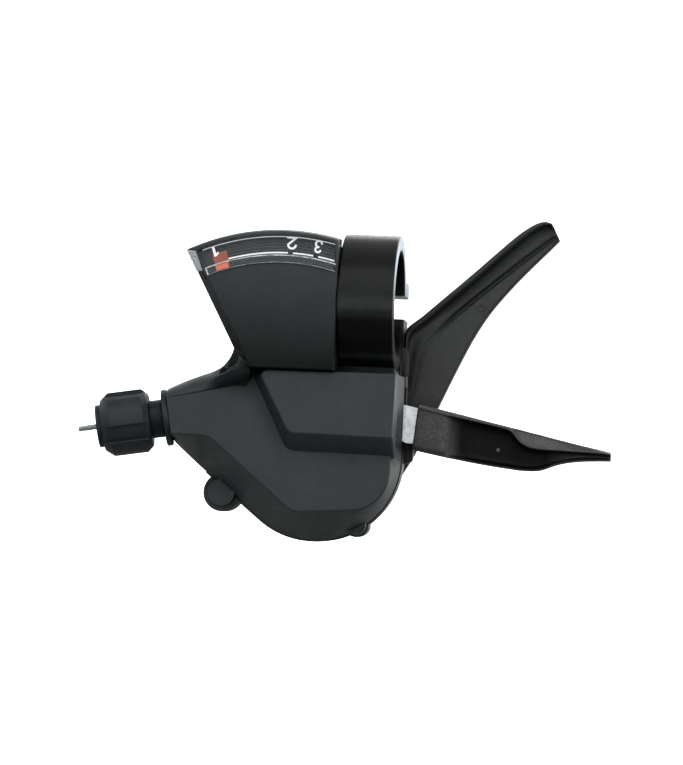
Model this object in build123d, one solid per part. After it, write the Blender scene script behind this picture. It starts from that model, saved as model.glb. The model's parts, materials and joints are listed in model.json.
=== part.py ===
"""Under-bar thumb shifter with a gear window, for the left end of a 22.2 mm handlebar.

Frame, in millimetres: the origin is the centre of the handlebar bore, at mid-width of the clamp band.
+X runs along the bar towards the grip, -Y is the side that the gear window faces, and +Z is up across
the window. Both levers, the drum and the needle turn about axes parallel to Y. Points are (x, z) pairs.
"""
import os
from math import acos, cos, hypot, pi, radians, sin, sqrt, tan

from build123d import *

# ---- clamp ----
BAR_R = 11.1
BAR_ROOM_R = 11.7                 # only the band comes closer to the bar axis than this
BAND_R = 14.4
BAND_HALF = 5.9
SPLIT_HALF = 2.5
EAR_HEIGHT = 6.0                  # outer faces of the two ears, above and below the bar axis
EAR_BACK = 22.0
BOLT_Y = 18.0
BOLT_R = 2.5
BOLT_HEAD_R = 4.25

# ---- shafts and gears ----
AXLE = (-11.0, -32.5)             # main axle
AXLE_R = 2.5
RUN = 0.05                        # radial running clearance
SEAT = 0.03                       # clearance of parts that are fixed together
MODULE = 0.5
PINION_TEETH = 16
SECTOR_TEETH = 42
PINION_R = MODULE * PINION_TEETH / 2
SECTOR_R = MODULE * SECTOR_TEETH / 2
NEEDLE = (AXLE[0] - SECTOR_R + PINION_R, AXLE[1])
RATCHET_TEETH = 20
DRUM_TRAVEL = 72.0                # degrees from gear 1 to gear 3
SECOND_GEAR = 54.0                # degrees from gear 1 to gear 2
THUMB_TRAVEL = 55.0

# ---- depths, from the window side to the lever side ----
Y_LENS = -14.6
Y_PANEL = -14.2                   # face of the indicator cover
Y_DIAL = -12.5
Y_TRAY = -12.2                    # where the indicator cover meets its base
Y_PLATE = -13.0                   # raised plate on the top cover
Y_FACE = -8.5                     # main face of the top cover
Y_GEARS = (-7.0, -6.0)            # pinion and needle sector
Y_CABLE = 0.3
Y_RIM = 4.0                       # where the top cover meets the bracket
Y_HOLD = (3.5, 5.0)               # holding ratchet and stop pawl
Y_DRIVE = (5.3, 6.8)              # drive ratchet, drive pawl and release lever
Y_BRACKET = (7.2, 9.8)
Y_LEVER_PLATE = (10.1, 11.7)
Y_LEVER = (12.0, 18.0)            # hub of the thumb lever
WALL = 1.4

# ---- cable line ----
CABLE_R = 0.6
CABLE_TURN_R = 11.6               # radius of the cable's centre on the drum
CABLE_DROP = radians(9.8)         # the cable run falls towards the adjuster
CABLE_LEAN = radians(6.0)         # and leans towards the window side
SPOUT_RUN = 29.2                  # from the drum to the mouth of the spout

TOP = -15.3                       # upper edge of the body, just under the band

# ---- fasteners ----
SCREW_R = 1.0
SCREW_HEAD_R = 1.9
SCREW_HEAD = 1.3                  # height of a screw's head
NUT_Z = (7.2, 9.9)                # square nut, below the bar axis
NUT_HALF = 4.0
AXLE_BUSH_R = 4.0
AXLE_THREAD_R = 1.22

# ---- gear window ----
RIM_R = 46.3                      # arcs of the window, about the needle's pivot
LENS_R = (39.2, 45.0)
WING_RIGHT = -5.95                # the panel's right edge, against the band
WING_LOW_LEFT = (-27.2, -11.3)
FLARE_BACK = ((-28.4, -14.2), (-32.6, -16.5), -20.5)    # sweep from the panel into the spout: middle,
FLARE_FRONT = ((-28.1, -13.6), (-29.6, -15.4), -15.6)   # end and floor, at its back and at its front
FLARE_Y = -7.0                    # depth at which the sweep reaches its full width
INDICATOR_SCREWS = ((-25.4, -13.3), (-8.3, -13.4))
INDICATOR_HEADS = -5.9            # where the heads of those two screws sit
TAB_X = (-9.4, -7.2)              # tabs of the indicator base, hooked into the top cover
TAB_Y = ((-10.8, -9.6), (-8.2, -7.0))
STROKE = 0.42                     # line width of the digits
DIGIT_R = 43.55
POINTER_ANGLE = 108.4             # the needle's flag, at gear 1
ARM_ANGLE = 98.0                  # the needle's arm, inside the body
JOGGLE_R = 19.8                   # where the arm steps up to the window's level
NEEDLE_SLOT = (65, 103)           # angles that the step sweeps, with room to spare
NEEDLE_LEVEL = (-13.1, -12.7)     # depths of the pointer strip

# ---- adjuster, as distances from the mouth of the spout ----
KNOB_ENDS = (4.1, 14.4)           # ribbed length
KNOB_R = 6.75
KNOB_WAIST_R = 6.0
KNOB_TURN = 20
COLLAR_R = 4.5
NECK_R = 4.0
FLANGE = 1.3
SOCKET_R = 2.65                   # takes the end of the outer casing
CABLE_END = 20.2
NIPPLE_ANGLE = 22.0

# ---- drum, ratchets and levers ----
HUB_R = 4.6
DISC_R = 12.4
HOLD_R = 12.8
STOP_NOSE = -15.0                 # angle at which the stop pawl's nose meets the rim
DRIVE_R = 8.5
PAWL_PIN_R = 1.0
RELEASE_PIN_R = 1.5
LEVER_HUB_R = 16.5
RIVET_R = 1.0
RIVET_HEAD_R = 1.8
CAP_Y = (1.6, 10.9)               # depths of the release lever's cap
WEB_Y = (14.2, 17.6)              # depths of the thumb lever's web
PAD_Y = (12.6, 21.8)              # and of its pad


def at_depth(y):
    """Drawing plane across the lever axes: its x is +X, its y is +Z, and it faces the window side."""
    return Plane(origin=(0, y, 0), x_dir=(1, 0, 0), z_dir=(0, -1, 0))


def slab(face, depths):
    """A face drawn in (x, z), made solid between two depths."""
    front, back = depths
    return extrude(at_depth(back) * face, amount=back - front)


def outline(*corners):
    """A closed face with straight sides; each corner is (x, z) or (x, z, radius)."""
    face = make_face(Polyline([corner[:2] for corner in corners], close=True))
    for corner in corners:
        if len(corner) == 3:
            vertex = face.vertices().sort_by_distance((corner[0], corner[1], 0))[0]
            face = fillet(vertex, corner[2])
    return face


def taper(front, y_front, back, y_back):
    """A solid with straight walls from the outline `front` to the outline `back`."""
    return loft([at_depth(y_back) * back, at_depth(y_front) * front], ruled=True)


def disc(centre, radius):
    return Pos(centre[0], centre[1]) * Circle(radius)


def pin(centre, radius, depths):
    """A cylinder about an axis parallel to Y."""
    return slab(disc(centre, radius), depths)


def polar(centre, radius, angle):
    return (centre[0] + radius * cos(radians(angle)), centre[1] + radius * sin(radians(angle)))


def sector(centre, radii, angles):
    """A ring sector in (x, z), between two radii and two angles in degrees."""
    inner_r, outer_r = radii
    start, end = angles
    middle = (start + end) / 2
    outer = ThreePointArc(*(polar(centre, outer_r, a) for a in (start, middle, end)))
    inner = ThreePointArc(*(polar(centre, inner_r, a) for a in (end, middle, start)))
    return make_face([outer, Line(outer @ 1, inner @ 0), inner, Line(inner @ 1, outer @ 0)])


def bar_link(start, end, half_width):
    """A flat link with round ends."""
    length = sqrt((end[0] - start[0]) ** 2 + (end[1] - start[1]) ** 2)
    along = ((end[0] - start[0]) / length, (end[1] - start[1]) / length)
    side = (-along[1] * half_width, along[0] * half_width)
    corners = [(start[0] + side[0], start[1] + side[1]), (end[0] + side[0], end[1] + side[1]),
               (end[0] - side[0], end[1] - side[1]), (start[0] - side[0], start[1] - side[1])]
    return make_face(Polyline(corners, close=True)) + disc(start, half_width) + disc(end, half_width)


def box(x, y, z):
    """A block from (low, high) pairs."""
    middle = [sum(pair) / 2 for pair in (x, y, z)]
    size = [pair[1] - pair[0] for pair in (x, y, z)]
    return Pos(*middle) * Box(*size)


def coil(plane, radius, wire_r, pitch, turns):
    """A helical spring that starts at the plane and rises along its normal."""
    path = Helix(pitch=pitch, height=pitch * turns, radius=radius)
    section = Plane(origin=path @ 0, z_dir=path % 0) * Circle(wire_r)
    return plane * sweep(section, path=path)


def coil_about(centre, y_start, radius, wire_r, pitch, turns):
    """A helical spring about an axis parallel to Y, rising towards the lever side."""
    start = Plane(origin=(centre[0], y_start, centre[1]), x_dir=(1, 0, 0), z_dir=(0, 1, 0))
    return coil(start, radius, wire_r, pitch, turns)


def ease(solid, radius, keep):
    """Round the edges that `keep` accepts."""
    return fillet(solid.edges().filter_by(keep), radius)


def bar_hole(radius):
    """The room round the handlebar."""
    return Rot(0, 90, 0) * Cylinder(radius, 200)


def gear_points(centre, teeth, radii, play, numbers):
    """Outline points of involute teeth; tooth 0 is centred on +X, and play thins each tooth."""
    pitch_r = MODULE * teeth / 2
    base_r = pitch_r * cos(radians(20))
    involute = tan(radians(20)) - radians(20)
    low, high = radii
    flank = []
    for share in (0, 0.35, 0.7, 1):
        r = low + share * (high - low)
        pressure = acos(min(1.0, base_r / r))
        flank.append((r, pi / (2 * teeth) + involute - tan(pressure) + pressure - play / (2 * pitch_r)))
    points = []
    for number in numbers:
        middle = 2 * pi * number / teeth
        tooth = [(r, middle - half) for r, half in flank]
        tooth += [(r, middle + half) for r, half in reversed(flank)]
        points += [(centre[0] + r * cos(a), centre[1] + r * sin(a)) for r, a in tooth]
    return points


# The cable leaves the top of the drum at `cable_start` and runs straight out through the adjuster.
cable_start = Vector(AXLE[0] - CABLE_TURN_R * sin(CABLE_DROP), Y_CABLE,
                     AXLE[1] + CABLE_TURN_R * cos(CABLE_DROP))
cable_way = Vector(-cos(CABLE_DROP) * cos(CABLE_LEAN), -sin(CABLE_LEAN),
                   -sin(CABLE_DROP) * cos(CABLE_LEAN))
mouth = cable_start + cable_way * SPOUT_RUN


def on_cable(distance):
    """Plane square to the cable, `distance` out from the mouth of the spout."""
    return Plane(origin=mouth + cable_way * distance, x_dir=(0, 1, 0), z_dir=cable_way)


def tube(outer_r, inner_r, ends):
    """A tube along the cable, between two distances from the mouth."""
    ring = Circle(outer_r) - Circle(inner_r) if inner_r else Circle(outer_r)
    return extrude(on_cable(ends[0]) * ring, amount=ends[1] - ends[0])


# ---- fixed places ----
EAR_BIG = (-30.8, -41.4)
EAR_SMALL = (-1.7, -47.1)
THIRD_SCREW = (-26.6, -18.4)
RELEASE_PIVOT = (-2.0, -22.5)
STOP_PIVOT = (3.5, -27.2)
DRIVE_PIN_R = 13.4                # radius on which the drive pawl's pin travels
DRIVE_REST = -35.0                # angle of that pin at rest
DRIVE_PIN = polar(AXLE, DRIVE_PIN_R, DRIVE_REST)
RIVETS = (polar(AXLE, 12.0, 35), polar(AXLE, 12.0, -15), polar(AXLE, 12.0, 190))

rim = outline((-46.0, -22.2), (-46.0, -27.2), (-36.2, -35.7, 8), (-17.5, -50.8, 18.1),
              (7.3, -50.8, 18.1), (7.3, TOP), (-28.6, TOP), (-30.6, TOP - 0.1))
face = outline((-46.0, -23.0), (-46.0, -29.8), (-32.3, -29.7, 5), (-14.0, -44.9, 4),
               (5.9, -43.5, 8), (6.7, TOP), (-23.4, TOP), (-24.9, -18.1))
plate_foot = outline((-24.4, TOP - 0.05, 1.2), (-15.8, -32.7, 2.5), (7.0, -33.0, 0.6), (7.1, TOP - 0.05))
plate_top = outline((-21.9, TOP - 0.1, 1.4), (-14.9, -28.4, 2.2), (6.8, -28.7, 0.5), (7.0, TOP - 0.1))


# ---- casing ----
def top_cover():
    shell = taper(face, Y_FACE, rim, Y_RIM - SEAT)
    shell += taper(plate_top, Y_PLATE, plate_foot, Y_FACE + 0.8)
    shell = ease(shell, 0.45, lambda e: e.length > 1 and e.center().Y < Y_PLATE + 0.02)
    shell = ease(shell, 0.5, lambda e: e.length > 1 and abs(e.center().Y - Y_FACE) < 0.02
                 and e.center().Z < TOP - 0.5 and (e.center().Z < -34 or e.center().X < -25))
    shell += pin(EAR_BIG, 2.9, (2.5, Y_RIM - SEAT)) + pin(EAR_SMALL, 2.2, (1.6, Y_RIM - SEAT))
    inner_rim = offset(rim, -WALL, kind=Kind.INTERSECTION)
    inner_face = offset(face, -WALL, kind=Kind.INTERSECTION)
    hollow = taper(inner_face, Y_FACE + WALL, inner_rim, Y_RIM)
    hollow &= box((-33.5, 20), (-20, 20), (-60, 0))
    plate_room = outline((-21.4, -17), (-13.0, -27.4), (5.2, -27.4), (5.4, -17))
    shell -= hollow + slab(plate_room, (Y_PLATE + 1.3, Y_FACE + WALL + 0.1))
    shell += pin(THIRD_SCREW, 2.0, (-2.5, Y_RIM - SEAT)) + pin(NEEDLE, 2.2, (Y_FACE + 0.6, -7.15))
    saddle = box((WING_RIGHT, BAND_HALF), (-4.4, Y_RIM - SEAT), (TOP - 0.6, TOP + 2.4))
    shell += saddle - bar_hole(BAND_R + SEAT)
    shell += box((-9.4, WING_RIGHT), (-4.4, Y_RIM - SEAT), (TOP - 0.6, -BAR_ROOM_R - 0.2))
    shell -= pin(NEEDLE, 0.9 + SEAT, (-8.2, 0))
    for centre, depth in ((EAR_BIG, 2.9), (EAR_SMALL, 2.3), (THIRD_SCREW, -1.8)):
        shell -= pin(centre, SCREW_R + SEAT, (depth, 10))
    shell -= slab(sector(NEEDLE, (14.0, 19.5), NEEDLE_SLOT), (-7.5, -5.5))
    for depths in TAB_Y:
        shell -= box((TAB_X[0] - SEAT, TAB_X[1] + SEAT), (depths[0] - SEAT, depths[1] + SEAT), (-20, 0))
    beyond = extrude(on_cable(0) * Rectangle(60, 60), amount=20)
    return shell - beyond - tube(3.6 + SEAT, 0, (-8.3, 1)) - tube(1.6, 0, (-14, 1))


def bracket():
    lip = offset(rim, 0.25, kind=Kind.INTERSECTION)
    body = slab(lip, (Y_RIM, Y_BRACKET[1]))
    body -= slab(offset(rim, -WALL, kind=Kind.INTERSECTION), (Y_RIM - 1, Y_BRACKET[0]))
    body &= box((-34.5, 20), (-20, 20), (-60, 0))
    body = ease(body, 0.8, lambda e: e.length > 2 and abs(e.center().Y - Y_BRACKET[1]) < 0.01
                and e.center().Z < TOP - 1)
    for centre, radius in ((EAR_BIG, 4.1), (EAR_SMALL, 2.6)):
        body += pin(centre, radius, (Y_RIM, Y_BRACKET[1] - 0.4))
    body += pin(THIRD_SCREW, 2.2, (Y_RIM, Y_BRACKET[0]))
    body += slab(outline((5, -28.6), (9.4, -29.4, 1.2), (9.4, -33.2, 1.2), (5, -34.4)), Y_BRACKET)
    cradle = make_face(Polyline([(Y_BRACKET[0], -19), (Y_BRACKET[0], -10), (13.5, -EAR_HEIGHT - SEAT),
                                 (EAR_BACK, -EAR_HEIGHT - SEAT), (EAR_BACK, -11.2), (15.6, -11.2),
                                 (11.2, -14.8), (Y_BRACKET[1], -19)], close=True))
    cradle = Pos(0.25, 0, 0) * extrude(Plane.YZ * cradle, amount=BAND_HALF - 0.15, both=True)
    cradle = ease(cradle, 1.2, lambda e: e.length > 8 and e.center().Y > 10.5 and e.center().Z < -11)
    body += cradle
    body -= bar_hole(BAND_R + SEAT)
    window = sector(AXLE, (DRIVE_PIN_R - 2.0, DRIVE_PIN_R + 2.0),
                    (DRIVE_REST - THUMB_TRAVEL - 10, DRIVE_REST + 10))
    body -= slab(window, (0, 20))
    body -= slab(outline((4, -17.4), (12, -17.4), (12, -30.2), (4, -30.2)), (Y_RIM - 1, Y_BRACKET[0]))
    body -= pin(AXLE, AXLE_BUSH_R + SEAT, (0, 20))
    for centre, radius in ((RELEASE_PIVOT, RELEASE_PIN_R), (STOP_PIVOT, PAWL_PIN_R)):
        body -= pin(centre, radius + SEAT, (0, 20)) + pin(centre, radius + 1.0, (0, Y_BRACKET[1] - 0.9))
    for centre in (EAR_BIG, EAR_SMALL, THIRD_SCREW):
        body -= pin(centre, 1.25 + RUN, (0, 20))
        body -= pin(centre, SCREW_HEAD_R + RUN, (Y_BRACKET[1] - 1.6, 20))
    body -= Pos(0, BOLT_Y, -10) * Cylinder(BOLT_R + RUN, 20)
    nut_room = NUT_HALF + RUN
    body -= box((-nut_room, nut_room), (BOLT_Y - nut_room, EAR_BACK + 1),
                (-NUT_Z[1] - SEAT, -NUT_Z[0] + SEAT))
    return body


def screw(centre, y_tip, y_head):
    """A small pan-head screw that points to the window side, with a cross recess."""
    body = pin(centre, SCREW_R, (y_tip, y_head)) + pin(centre, SCREW_HEAD_R, (y_head, y_head + SCREW_HEAD))
    body = ease(body, 0.5, lambda e: abs(e.center().Y - y_head - SCREW_HEAD) < 0.01)
    for size in ((2.0, 0.5), (0.5, 2.0)):
        cut = Pos(centre[0], centre[1]) * Rectangle(*size)
        body -= slab(cut, (y_head + 0.6, y_head + 2))
    return body


def cover_screws():
    head = Y_BRACKET[1] - 1.6
    return [screw(EAR_BIG, 3.0, head), screw(EAR_SMALL, 2.6, head), screw(THIRD_SCREW, -1.4, head)]


# ---- clamp ----
def clamp_band():
    ear_side = Plane.YZ * make_face(Polyline([(10, -EAR_HEIGHT), (EAR_BACK, -EAR_HEIGHT),
                                              (EAR_BACK, EAR_HEIGHT), (10, EAR_HEIGHT)], close=True))
    band = Rot(0, 90, 0) * Cylinder(BAND_R, 2 * BAND_HALF)
    ears = extrude(ear_side, amount=BAND_HALF, both=True)
    ears = ease(ears, 1.6, lambda e: e.center().Y > EAR_BACK - 0.1 and abs(e.center().Z) < 1)
    band += ears
    band = ease(band, 0.5, lambda e: abs(abs(e.center().X) - BAND_HALF) < 0.01)
    band -= bar_hole(BAR_R)
    band -= box((-10, 10), (0, 30), (-SPLIT_HALF, SPLIT_HALF))
    band -= Pos(0, BOLT_Y, 0) * Cylinder(BOLT_R + 0.15, 40)
    bore_rims = [e for e in band.edges().filter_by(GeomType.CIRCLE)
                 if abs(e.radius - BAR_R) < 0.01 and abs(abs(e.center().X) - BAND_HALF) < 3]
    return chamfer(bore_rims, 0.3)


def clamp_bolt():
    head_z = EAR_HEIGHT + 0.8
    body = Pos(0, BOLT_Y, (head_z - 11.0) / 2) * Cylinder(BOLT_R, head_z + 11.0)
    head = Pos(0, BOLT_Y, head_z + 2.5) * Cylinder(BOLT_HEAD_R, 5)
    head = chamfer(head.edges().group_by(Axis.Z)[-1], 0.5)
    socket = extrude(Plane(origin=(0, BOLT_Y, head_z + 2.4)) * RegularPolygon(4 / sqrt(3), 6), amount=4)
    return body + head - socket


def clamp_washer():
    ring = Circle(4.6) - Circle(BOLT_R + 0.1)
    return extrude(Plane(origin=(0, BOLT_Y, EAR_HEIGHT)) * ring, amount=0.8)


def clamp_nut():
    square = RectangleRounded(2 * NUT_HALF, 2 * NUT_HALF, 0.4) - Circle(BOLT_R + 0.02)
    return extrude(Plane(origin=(0, BOLT_Y, -NUT_Z[1])) * square, amount=NUT_Z[1] - NUT_Z[0])


# ---- indicator ----
def wing(radius, start, low_left, foot_left):
    """The indicator's outline: an arc on top, a slanting left side and a straight right side."""
    end = 90 - (180 / pi) * acos(sqrt(1 - ((WING_RIGHT - NEEDLE[0]) / radius) ** 2))
    arc = ThreePointArc(*(polar(NEEDLE, radius, a) for a in (start, (start + end) / 2, end)))
    foot_right = (WING_RIGHT, TOP + SEAT)
    sides = Polyline(arc @ 1, foot_right, foot_left, low_left, arc @ 0)
    return make_face([arc, sides])


wing_back = wing(RIM_R, 116.4, WING_LOW_LEFT, (-28.2, TOP + SEAT))
wing_front = wing(RIM_R - 0.5, 114.3, (-24.7, -12.2), (-23.4, TOP + SEAT))


def lens_zone(radii, start, margin):
    """The window's arc, from its left end to `margin` short of the panel's right edge."""
    right = WING_RIGHT - margin
    return sector(NEEDLE, radii, (start, 70)) & Pos(right - 30, 0) * Rectangle(60, 60)


def indicator_cover():
    shell = taper(wing_front, Y_PANEL, wing_back, Y_TRAY - SEAT)
    shell = ease(shell, 0.35, lambda e: e.length > 1 and abs(e.center().Y - Y_PANEL) < 0.01)
    room = offset(wing_front, -1.3, kind=Kind.INTERSECTION)
    shell -= slab(room, (Y_PANEL + 0.8, 0))
    low, high = LENS_R
    shell -= slab(lens_zone(LENS_R, 114.2, 0.7), (-20, 0))
    shell -= slab(lens_zone((low - 0.6, high + 0.3), 114.6, 0.4), (Y_PANEL + 0.5, 0))
    return shell - slab(sector(NEEDLE, (JOGGLE_R - 1.5, JOGGLE_R + 1.5), NEEDLE_SLOT), (Y_PANEL + 0.8, 0))


def flare_face(sweep):
    """The gusset between the window's lower left corner and the spout, with a hollow left side."""
    middle, end, floor = sweep
    curve = Spline(WING_LOW_LEFT, middle, end)
    return make_face([curve, Polyline([end, (end[0], floor), (-24.8, floor), (-24.8, -11.4), WING_LOW_LEFT])])


def indicator_base():
    wing_solid = slab(wing_back, (Y_TRAY, -8.6))
    under = offset(wing_back, -1.2, kind=Kind.INTERSECTION)
    wing_solid -= slab(under, (-11.2, 0))
    foot = slab(outline((-26.4, TOP + SEAT), (-26.4, -11.4), (WING_RIGHT, -11.4), (WING_RIGHT, TOP + SEAT)),
                (Y_TRAY, -4.6))
    flare = slab(flare_face(FLARE_BACK), (FLARE_Y, Y_RIM - 1.2))
    flare += taper(flare_face(FLARE_FRONT), Y_TRAY, flare_face(FLARE_BACK), FLARE_Y)
    flare -= taper(offset(face, SEAT, kind=Kind.INTERSECTION), Y_FACE - SEAT,
                   offset(rim, SEAT, kind=Kind.INTERSECTION), Y_RIM)
    flare -= slab(offset(plate_foot, SEAT, kind=Kind.INTERSECTION), (-20, Y_FACE))
    body = wing_solid + foot + flare
    body = body - bar_hole(BAR_ROOM_R)
    body -= slab(sector(NEEDLE, (15.0, 21.6), NEEDLE_SLOT), (-7.6, -5.5))
    body -= slab(sector(NEEDLE, (JOGGLE_R - 1.2, JOGGLE_R + 1.8), NEEDLE_SLOT), (-20, -7.5))
    for depths in TAB_Y:
        body += box(TAB_X, depths, (TOP - 2.0, TOP + 0.5))
    for centre in INDICATOR_SCREWS:
        body -= pin(centre, SCREW_R + SEAT, (-20, 0))
        body -= pin(centre, SCREW_HEAD_R + RUN, (INDICATOR_HEADS - 0.1, 0))
    return body


def indicator_screws():
    return [screw(centre, Y_TRAY + 0.05, INDICATOR_HEADS) for centre in INDICATOR_SCREWS]


def indicator_lens():
    low, high = LENS_R
    window = lens_zone((low + 0.1, high - SEAT), 114.1, 0.75)
    crown = taper(lens_zone((low + 1.2, high - 0.1), 113.6, 0.8), Y_LENS, window, Y_PANEL + 0.47)
    lip = slab(lens_zone((low - 0.4, high + 0.1), 114.4, 0.5), (Y_PANEL + 0.53, Y_PANEL + 0.9))
    return crown + lip + slab(window, (Y_PANEL + 0.4, Y_PANEL + 0.6))


def indicator_dial():
    return slab(lens_zone((LENS_R[0] - 0.5, LENS_R[1] + 0.2), 114.4, 0.5), (Y_DIAL, Y_TRAY - 0.02))


def numeral(lines):
    """A digit drawn with strokes of one width and round joints."""
    strokes = []
    for line in lines:
        strokes += [trace(line, line_width=STROKE), Pos(*(line @ 0)) * Circle(STROKE / 2),
                    Pos(*(line @ 1)) * Circle(STROKE / 2)]
    digit = strokes[0]
    for stroke in strokes[1:]:
        digit += stroke
    return digit


def dial_numerals():
    """The digits 1, 2 and 3, with their feet towards the arc's outside, for a rider above the bar."""
    one = [Line((-0.5, 0.6), (0.15, 1.15)), Line((0.15, 1.15), (0.15, -1.15))]
    two = [ThreePointArc((-0.85, 0.5), (0.05, 1.15), (0.75, 0.35)), Line((0.75, 0.35), (-0.85, -1.1)),
           Line((-0.85, -1.1), (0.95, -1.1))]
    three = [ThreePointArc((-0.55, 0.8), (0.5, 0.75), (-0.05, 0.12)),
             ThreePointArc((-0.05, 0.12), (0.62, -0.4), (-0.62, -0.72))]
    digits = []
    for lines, angle in ((one, 109.4), (two, 88.0), (three, 80.6)):
        place = polar(NEEDLE, DIGIT_R, angle)
        upright = Pos(*place) * Rot(0, 0, angle + 90)
        digits.append(slab(upright * numeral(lines), (Y_DIAL - 0.1, Y_DIAL - 0.01)))
    return digits


def needle():
    hub = pin(NEEDLE, 2.0, Y_GEARS)
    arm = slab(bar_link(NEEDLE, polar(NEEDLE, JOGGLE_R - 0.5, ARM_ANGLE), 1.0), Y_GEARS)
    rim_solid = slab(sector(NEEDLE, (SECTOR_R - 0.4, SECTOR_R + 1.8), (-16, ARM_ANGLE)), Y_GEARS)
    spaces = gear_points(NEEDLE, SECTOR_TEETH, (SECTOR_R - 0.6, SECTOR_R + 0.6), -0.14, range(-2, 6))
    rim_solid -= slab(make_face(Polyline(spaces + [NEEDLE], close=True)), (-20, 0))
    joggle = slab(sector(NEEDLE, (JOGGLE_R - 0.5, JOGGLE_R + 0.5), (ARM_ANGLE - 3, ARM_ANGLE + 3)),
                  (NEEDLE_LEVEL[0], Y_GEARS[1]))
    strip = slab(bar_link(polar(NEEDLE, JOGGLE_R, ARM_ANGLE), polar(NEEDLE, 41.0, POINTER_ANGLE), 0.8),
                 NEEDLE_LEVEL)
    flag = slab(sector(NEEDLE, (39.6, 43.2), (POINTER_ANGLE - 2.1, POINTER_ANGLE + 2.1)), NEEDLE_LEVEL)
    return hub + arm + rim_solid + joggle + strip + flag - pin(NEEDLE, 0.9 + RUN, (-20, 0))


def needle_stud():
    return pin(NEEDLE, 0.9, (-8.1, -5.85))


# ---- cable and adjuster ----
def spout_bush():
    flange = tube(6.0, 2.6, (0.02, FLANGE))
    flange = ease(flange, 0.3, lambda e: e.length > 30)
    return flange + tube(3.6, 2.6, (-8.0, 0.1))


def adjuster_bolt():
    thread = tube(BOLT_R, 1.1, (-7.0, 7.0))
    for turn in range(9):
        groove = tube(3.0, BOLT_R - 0.2, (-6.6 + 0.8 * turn, -6.3 + 0.8 * turn))
        thread -= groove
    return thread


def adjuster_knob():
    low, high = KNOB_ENDS
    profile = Polyline([(0.02 + BOLT_R, FLANGE + 0.2), (NECK_R, FLANGE + 0.2), (NECK_R, low),
                        (KNOB_R - 1.2, low), (KNOB_R, low + 1.4), (KNOB_R, high - 1.8),
                        (KNOB_R - 1.4, high), (COLLAR_R, high), (COLLAR_R, high + 1.1),
                        (0.02 + BOLT_R, high + 1.1)], close=True)
    knob = revolve(Plane.XZ * make_face(profile), Axis.Z)
    knob = ease(knob, 0.4, lambda e: e.length > 2 * pi * 5)
    for number in range(4):
        start = 90 * number + 27
        valley = sector((0, 0), (KNOB_WAIST_R, 9), (start, start + 36))
        cutter = extrude(Plane.XY.offset(low - 1) * valley, amount=high - low + 0.4)
        knob -= ease(cutter, 0.4, lambda e: e.length > 3 and hypot(e.center().X, e.center().Y) < 6.3)
    knob -= Pos(0, 0, 15) * Cylinder(SOCKET_R, 8)
    knob -= Pos(0, 0, 2.6) * Cylinder(3.2, 2.4)
    return on_cable(0) * Rot(0, 0, KNOB_TURN) * knob


def casing_seat():
    return tube(SOCKET_R - RUN, 0.8, (11.1, 12.1))


def adjuster_spring():
    return coil(on_cable(1.65), 2.85, 0.2, 0.7, 2.4)


def inner_cable():
    angles = [90 + 180 * CABLE_DROP / pi, 66, NIPPLE_ANGLE + 12]
    arc = ThreePointArc(*(polar(AXLE, CABLE_TURN_R, a) for a in angles))
    path = at_depth(Y_CABLE) * arc
    wrap = sweep(Plane(origin=path @ 0, z_dir=path % 0) * Circle(CABLE_R), path=path)
    run = tube(CABLE_R, 0, (-SPOUT_RUN, CABLE_END))
    knuckle = Pos(*cable_start) * Sphere(CABLE_R)
    return wrap + run + knuckle


def nipple_axis(radius, length):
    place = polar(AXLE, CABLE_TURN_R, NIPPLE_ANGLE)
    way = polar((0, 0), 1, NIPPLE_ANGLE - 90)
    plane = Plane(origin=(place[0], Y_CABLE, place[1]), z_dir=(way[0], 0, way[1]))
    return extrude(plane * Circle(radius), amount=length / 2, both=True)


def cable_nipple():
    return nipple_axis(1.6, 3.8)


# ---- drum and ratchets ----
def hub_section(radius):
    """The drum's hub, round with two flats that drive the ratchets."""
    return Circle(radius) & Rectangle(4 * radius, 1.7 * radius)


def cable_drum():
    body = pin(AXLE, DISC_R, (-2.0, Y_HOLD[0] - 0.1))
    groove_depths = (Y_CABLE - 1.2, Y_CABLE + 0.7)
    body -= pin(AXLE, 20, groove_depths) - pin(AXLE, CABLE_TURN_R - CABLE_R - RUN, groove_depths)
    body -= nipple_axis(1.65, 3.9)
    body += pin(AXLE, HUB_R, (-5.4, 0))
    body += slab(Pos(*AXLE) * hub_section(HUB_R), (0, Y_DRIVE[1]))
    pinion = gear_points(AXLE, PINION_TEETH, (PINION_R - 0.6, PINION_R + 0.45), 0.1, range(PINION_TEETH))
    body += slab(make_face(Polyline(pinion, close=True)), (Y_GEARS[0], -5.3))
    return body - pin(AXLE, AXLE_R + RUN, (-20, 20))


def saw(count, outer_r, depth, lead):
    """Saw-tooth cuts: one steep face each, then a ramp that rises counter-clockwise."""
    step = 360 / count
    cuts = []
    for number in range(count):
        start = lead + number * step
        steep_top = polar((0, 0), outer_r + 0.1, start)
        foot = polar((0, 0), outer_r - depth, start)
        ramp_top = polar((0, 0), outer_r + 0.1, start + step * 0.92)
        cuts.append(make_face(Polyline([steep_top, foot, ramp_top], close=True)))
    return cuts


def holding_ratchet():
    ring = Circle(HOLD_R) - hub_section(HUB_R + SEAT)
    for gear in (SECOND_GEAR, DRUM_TRAVEL):
        start = STOP_NOSE + gear - 4
        notch = Polyline([polar((0, 0), HOLD_R + 0.3, start), polar((0, 0), HOLD_R - 1.1, start),
                          polar((0, 0), HOLD_R - 1.1, start + 4), polar((0, 0), HOLD_R + 0.3, start + 14)],
                         close=True)
        ring -= make_face(notch)
    for angle in (150, 210, 270):
        ring -= Pos(*polar((0, 0), 8.7, angle)) * Circle(1.5)
    return slab(Pos(*AXLE) * ring, Y_HOLD)


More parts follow.
